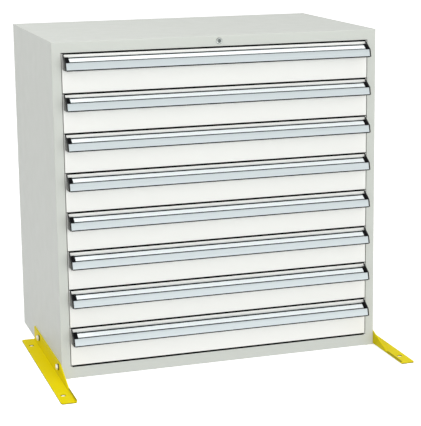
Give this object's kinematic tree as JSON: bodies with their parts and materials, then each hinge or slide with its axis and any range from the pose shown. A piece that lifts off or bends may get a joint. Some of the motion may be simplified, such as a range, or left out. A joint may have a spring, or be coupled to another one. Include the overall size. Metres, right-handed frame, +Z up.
{
  "type": "industrial drawer cabinet",
  "caption": "Free-standing sheet steel workshop cabinet with full-width telescopic drawers, extruded label handles, a central drawer lock and anti-tip floor brackets.",
  "frame": {"origin": "on the floor, at the centre of the case's footprint", "axes": "+Z up, +X to the right seen from the front; the drawers open along -Y"},
  "size_m": [0.96, 0.737, 0.88],
  "materials": {
    "case_paint": "light grey powder coat, satin, fine orange peel",
    "drawer_paint": "off-white powder coat, satin, fine orange peel",
    "bracket_paint": "yellow powder coat, satin",
    "handle_aluminium": "satin anodised extrusion, drawn along its length",
    "cap_plastic": "black moulded plastic, fine grain",
    "galvanised_steel": "galvanised sheet, faint spangle",
    "slide_steel": "bright zinc, rolled lengthwise",
    "zinc_fasteners": "bright zinc plated",
    "lock_chrome": "polished chrome"
  },
  "bodies": {
    "cabinet": {"side_panels": "case_paint", "top_panel": "case_paint", "base_panel": "case_paint", "back_panel": "case_paint", "slotted_posts": "galvanised_steel", "cabinet_rails": "slide_steel", "lock_barrel": "lock_chrome", "floor_brackets": "bracket_paint", "bracket_fasteners": "zinc_fasteners"},
    "lock_plug": {"lock_plug": "lock_chrome"},
    "lock_link": {"lock_link": "galvanised_steel"},
    "lock_shaft": {"lock_shaft": "galvanised_steel"},
    "drawer_1": {"drawer_1_front": "drawer_paint", "drawer_1_tray": "drawer_paint", "drawer_1_runners": "slide_steel", "drawer_1_handle": "handle_aluminium", "drawer_1_end_caps": "cap_plastic"},
    "middle_1": {"drawer_1_middle_rails": "slide_steel"},
    "drawer_2": {"drawer_2_front": "drawer_paint", "drawer_2_tray": "drawer_paint", "drawer_2_runners": "slide_steel", "drawer_2_handle": "handle_aluminium", "drawer_2_end_caps": "cap_plastic"},
    "middle_2": {"drawer_2_middle_rails": "slide_steel"},
    "drawer_3": {"drawer_3_front": "drawer_paint", "drawer_3_tray": "drawer_paint", "drawer_3_runners": "slide_steel", "drawer_3_handle": "handle_aluminium", "drawer_3_end_caps": "cap_plastic"},
    "middle_3": {"drawer_3_middle_rails": "slide_steel"},
    "drawer_4": {"drawer_4_front": "drawer_paint", "drawer_4_tray": "drawer_paint", "drawer_4_runners": "slide_steel", "drawer_4_handle": "handle_aluminium", "drawer_4_end_caps": "cap_plastic"},
    "middle_4": {"drawer_4_middle_rails": "slide_steel"},
    "drawer_5": {"drawer_5_front": "drawer_paint", "drawer_5_tray": "drawer_paint", "drawer_5_runners": "slide_steel", "drawer_5_handle": "handle_aluminium", "drawer_5_end_caps": "cap_plastic"},
    "middle_5": {"drawer_5_middle_rails": "slide_steel"},
    "drawer_6": {"drawer_6_front": "drawer_paint", "drawer_6_tray": "drawer_paint", "drawer_6_runners": "slide_steel", "drawer_6_handle": "handle_aluminium", "drawer_6_end_caps": "cap_plastic"},
    "middle_6": {"drawer_6_middle_rails": "slide_steel"},
    "drawer_7": {"drawer_7_front": "drawer_paint", "drawer_7_tray": "drawer_paint", "drawer_7_runners": "slide_steel", "drawer_7_handle": "handle_aluminium", "drawer_7_end_caps": "cap_plastic"},
    "middle_7": {"drawer_7_middle_rails": "slide_steel"},
    "drawer_8": {"drawer_8_front": "drawer_paint", "drawer_8_tray": "drawer_paint", "drawer_8_runners": "slide_steel", "drawer_8_handle": "handle_aluminium", "drawer_8_end_caps": "cap_plastic"},
    "middle_8": {"drawer_8_middle_rails": "slide_steel"}
  },
  "joints": [
    {"name": "lock_turn", "type": "hinge", "parent": "cabinet", "child": "lock_plug", "pos_m": [0, -0.275, 0.86625], "axis": [0, 1, 0], "range_deg": [0, 90]},
    {"name": "link_slide", "type": "slide", "parent": "cabinet", "child": "lock_link", "axis": [-1, 0, 0], "range_m": [0, 0.0128]},
    {"name": "shaft_turn", "type": "hinge", "parent": "cabinet", "child": "lock_shaft", "pos_m": [0.42604, -0.235, 0.044], "axis": [0, 0, -1], "range_deg": [0, 90]},
    {"name": "drawer_1_slide", "type": "slide", "parent": "cabinet", "child": "drawer_1", "axis": [0, -1, 0], "range_m": [0, 0.45]},
    {"name": "middle_1_slide", "type": "slide", "parent": "cabinet", "child": "middle_1", "axis": [0, -1, 0], "range_m": [0, 0.225]},
    {"name": "drawer_2_slide", "type": "slide", "parent": "cabinet", "child": "drawer_2", "axis": [0, -1, 0], "range_m": [0, 0.45]},
    {"name": "middle_2_slide", "type": "slide", "parent": "cabinet", "child": "middle_2", "axis": [0, -1, 0], "range_m": [0, 0.225]},
    {"name": "drawer_3_slide", "type": "slide", "parent": "cabinet", "child": "drawer_3", "axis": [0, -1, 0], "range_m": [0, 0.45]},
    {"name": "middle_3_slide", "type": "slide", "parent": "cabinet", "child": "middle_3", "axis": [0, -1, 0], "range_m": [0, 0.225]},
    {"name": "drawer_4_slide", "type": "slide", "parent": "cabinet", "child": "drawer_4", "axis": [0, -1, 0], "range_m": [0, 0.45]},
    {"name": "middle_4_slide", "type": "slide", "parent": "cabinet", "child": "middle_4", "axis": [0, -1, 0], "range_m": [0, 0.225]},
    {"name": "drawer_5_slide", "type": "slide", "parent": "cabinet", "child": "drawer_5", "axis": [0, -1, 0], "range_m": [0, 0.45]},
    {"name": "middle_5_slide", "type": "slide", "parent": "cabinet", "child": "middle_5", "axis": [0, -1, 0], "range_m": [0, 0.225]},
    {"name": "drawer_6_slide", "type": "slide", "parent": "cabinet", "child": "drawer_6", "axis": [0, -1, 0], "range_m": [0, 0.45]},
    {"name": "middle_6_slide", "type": "slide", "parent": "cabinet", "child": "middle_6", "axis": [0, -1, 0], "range_m": [0, 0.225]},
    {"name": "drawer_7_slide", "type": "slide", "parent": "cabinet", "child": "drawer_7", "axis": [0, -1, 0], "range_m": [0, 0.45]},
    {"name": "middle_7_slide", "type": "slide", "parent": "cabinet", "child": "middle_7", "axis": [0, -1, 0], "range_m": [0, 0.225]},
    {"name": "drawer_8_slide", "type": "slide", "parent": "cabinet", "child": "drawer_8", "axis": [0, -1, 0], "range_m": [0, 0.45]},
    {"name": "middle_8_slide", "type": "slide", "parent": "cabinet", "child": "middle_8", "axis": [0, -1, 0], "range_m": [0, 0.225]}
  ],
  "couplings": [
    {"joint": "lock_turn", "follows": "shaft_turn", "ratio": 1},
    {"joint": "link_slide", "follows": "shaft_turn", "m_per_rad": 0.0081028},
    {"joint": "middle_1_slide", "follows": "drawer_1_slide", "ratio": 0.5},
    {"joint": "middle_2_slide", "follows": "drawer_2_slide", "ratio": 0.5},
    {"joint": "middle_3_slide", "follows": "drawer_3_slide", "ratio": 0.5},
    {"joint": "middle_4_slide", "follows": "drawer_4_slide", "ratio": 0.5},
    {"joint": "middle_5_slide", "follows": "drawer_5_slide", "ratio": 0.5},
    {"joint": "middle_6_slide", "follows": "drawer_6_slide", "ratio": 0.5},
    {"joint": "middle_7_slide", "follows": "drawer_7_slide", "ratio": 0.5},
    {"joint": "middle_8_slide", "follows": "drawer_8_slide", "ratio": 0.5}
  ]
}
